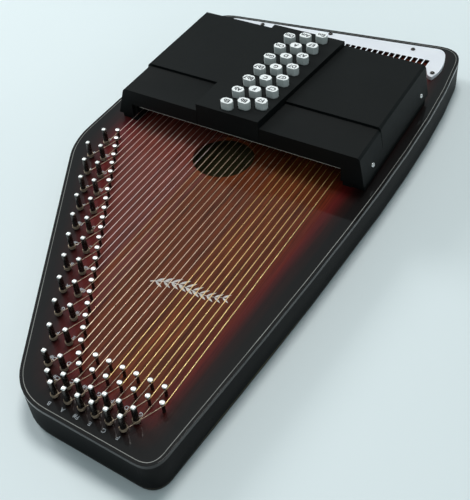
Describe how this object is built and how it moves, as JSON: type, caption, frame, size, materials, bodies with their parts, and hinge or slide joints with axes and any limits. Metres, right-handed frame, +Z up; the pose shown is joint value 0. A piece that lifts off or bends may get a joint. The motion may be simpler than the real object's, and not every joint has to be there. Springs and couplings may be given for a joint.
{
  "type": "chorded zither",
  "caption": "Chorded zither: flat lacquered soundbox with strings, pins and a bank of sprung chord bars under a moulded cover.",
  "frame": {"origin": "centre of the bounding box in plan, at the back board's lower face, on the table", "axes": "+X across the strings towards the bass side, +Y along the strings towards the tail where they are anchored, +Z up out of the soundboard"},
  "size_m": [0.2952, 0.5621, 0.0835],
  "materials": {
    "lacquer_black": "black gloss lacquer on wood",
    "sunburst_lacquer": "red-brown wood shaded to black at the rim, under gloss lacquer",
    "maple": "bare laminated maple",
    "ivory_inlay": "satin off-white plastic",
    "nickel": "bright nickel plate",
    "music_wire": "plain and bronze-wound wire",
    "black_plastic": "satin black moulding",
    "white_plastic": "white moulded buttons",
    "bar_wood": "dark stained wood with felt pads below"
  },
  "bodies": {
    "case": {"back_board": "lacquer_black", "case_sides": "lacquer_black", "soundboard": "sunburst_lacquer", "pin_block": "maple", "tail_block": "maple", "brace_front": "maple", "brace_rear": "maple", "purfling": "ivory_inlay", "guide_pins": "nickel", "tuning_pins": "nickel", "strings": "music_wire", "anchor_plate": "nickel", "string_bridge": "ivory_inlay", "bar_holder_bass": "black_plastic", "bar_holder_treble": "black_plastic", "cover_bass": "black_plastic", "cover_treble": "black_plastic", "button_cover": "black_plastic"},
    "chord_01": {"chord_bar_01": "bar_wood", "chord_button_01": "white_plastic"},
    "chord_02": {"chord_bar_02": "bar_wood", "chord_button_02": "white_plastic"},
    "chord_03": {"chord_bar_03": "bar_wood", "chord_button_03": "white_plastic"},
    "chord_04": {"chord_bar_04": "bar_wood", "chord_button_04": "white_plastic"},
    "chord_05": {"chord_bar_05": "bar_wood", "chord_button_05": "white_plastic"},
    "chord_06": {"chord_bar_06": "bar_wood", "chord_button_06": "white_plastic"},
    "chord_07": {"chord_bar_07": "bar_wood", "chord_button_07": "white_plastic"},
    "chord_08": {"chord_bar_08": "bar_wood", "chord_button_08": "white_plastic"},
    "chord_09": {"chord_bar_09": "bar_wood", "chord_button_09": "white_plastic"},
    "chord_10": {"chord_bar_10": "bar_wood", "chord_button_10": "white_plastic"},
    "chord_11": {"chord_bar_11": "bar_wood", "chord_button_11": "white_plastic"},
    "chord_12": {"chord_bar_12": "bar_wood", "chord_button_12": "white_plastic"},
    "chord_13": {"chord_bar_13": "bar_wood", "chord_button_13": "white_plastic"},
    "chord_14": {"chord_bar_14": "bar_wood", "chord_button_14": "white_plastic"},
    "chord_15": {"chord_bar_15": "bar_wood", "chord_button_15": "white_plastic"},
    "chord_16": {"chord_bar_16": "bar_wood", "chord_button_16": "white_plastic"},
    "chord_17": {"chord_bar_17": "bar_wood", "chord_button_17": "white_plastic"},
    "chord_18": {"chord_bar_18": "bar_wood", "chord_button_18": "white_plastic"},
    "chord_19": {"chord_bar_19": "bar_wood", "chord_button_19": "white_plastic"},
    "chord_20": {"chord_bar_20": "bar_wood", "chord_button_20": "white_plastic"},
    "chord_21": {"chord_bar_21": "bar_wood", "chord_button_21": "white_plastic"}
  },
  "joints": [
    {"name": "chord_01_press", "type": "slide", "parent": "case", "child": "chord_01", "axis": [0, 0, -1], "range_m": [0, 0.004], "stiffness_N_per_m": 300, "springref_m": -0.004},
    {"name": "chord_02_press", "type": "slide", "parent": "case", "child": "chord_02", "axis": [0, 0, -1], "range_m": [0, 0.004], "stiffness_N_per_m": 300, "springref_m": -0.004},
    {"name": "chord_03_press", "type": "slide", "parent": "case", "child": "chord_03", "axis": [0, 0, -1], "range_m": [0, 0.004], "stiffness_N_per_m": 300, "springref_m": -0.004},
    {"name": "chord_04_press", "type": "slide", "parent": "case", "child": "chord_04", "axis": [0, 0, -1], "range_m": [0, 0.004], "stiffness_N_per_m": 300, "springref_m": -0.004},
    {"name": "chord_05_press", "type": "slide", "parent": "case", "child": "chord_05", "axis": [0, 0, -1], "range_m": [0, 0.004], "stiffness_N_per_m": 300, "springref_m": -0.004},
    {"name": "chord_06_press", "type": "slide", "parent": "case", "child": "chord_06", "axis": [0, 0, -1], "range_m": [0, 0.004], "stiffness_N_per_m": 300, "springref_m": -0.004},
    {"name": "chord_07_press", "type": "slide", "parent": "case", "child": "chord_07", "axis": [0, 0, -1], "range_m": [0, 0.004], "stiffness_N_per_m": 300, "springref_m": -0.004},
    {"name": "chord_08_press", "type": "slide", "parent": "case", "child": "chord_08", "axis": [0, 0, -1], "range_m": [0, 0.004], "stiffness_N_per_m": 300, "springref_m": -0.004},
    {"name": "chord_09_press", "type": "slide", "parent": "case", "child": "chord_09", "axis": [0, 0, -1], "range_m": [0, 0.004], "stiffness_N_per_m": 300, "springref_m": -0.004},
    {"name": "chord_10_press", "type": "slide", "parent": "case", "child": "chord_10", "axis": [0, 0, -1], "range_m": [0, 0.004], "stiffness_N_per_m": 300, "springref_m": -0.004},
    {"name": "chord_11_press", "type": "slide", "parent": "case", "child": "chord_11", "axis": [0, 0, -1], "range_m": [0, 0.004], "stiffness_N_per_m": 300, "springref_m": -0.004},
    {"name": "chord_12_press", "type": "slide", "parent": "case", "child": "chord_12", "axis": [0, 0, -1], "range_m": [0, 0.004], "stiffness_N_per_m": 300, "springref_m": -0.004},
    {"name": "chord_13_press", "type": "slide", "parent": "case", "child": "chord_13", "axis": [0, 0, -1], "range_m": [0, 0.004], "stiffness_N_per_m": 300, "springref_m": -0.004},
    {"name": "chord_14_press", "type": "slide", "parent": "case", "child": "chord_14", "axis": [0, 0, -1], "range_m": [0, 0.004], "stiffness_N_per_m": 300, "springref_m": -0.004},
    {"name": "chord_15_press", "type": "slide", "parent": "case", "child": "chord_15", "axis": [0, 0, -1], "range_m": [0, 0.004], "stiffness_N_per_m": 300, "springref_m": -0.004},
    {"name": "chord_16_press", "type": "slide", "parent": "case", "child": "chord_16", "axis": [0, 0, -1], "range_m": [0, 0.004], "stiffness_N_per_m": 300, "springref_m": -0.004},
    {"name": "chord_17_press", "type": "slide", "parent": "case", "child": "chord_17", "axis": [0, 0, -1], "range_m": [0, 0.004], "stiffness_N_per_m": 300, "springref_m": -0.004},
    {"name": "chord_18_press", "type": "slide", "parent": "case", "child": "chord_18", "axis": [0, 0, -1], "range_m": [0, 0.004], "stiffness_N_per_m": 300, "springref_m": -0.004},
    {"name": "chord_19_press", "type": "slide", "parent": "case", "child": "chord_19", "axis": [0, 0, -1], "range_m": [0, 0.004], "stiffness_N_per_m": 300, "springref_m": -0.004},
    {"name": "chord_20_press", "type": "slide", "parent": "case", "child": "chord_20", "axis": [0, 0, -1], "range_m": [0, 0.004], "stiffness_N_per_m": 300, "springref_m": -0.004},
    {"name": "chord_21_press", "type": "slide", "parent": "case", "child": "chord_21", "axis": [0, 0, -1], "range_m": [0, 0.004], "stiffness_N_per_m": 300, "springref_m": -0.004}
  ]
}
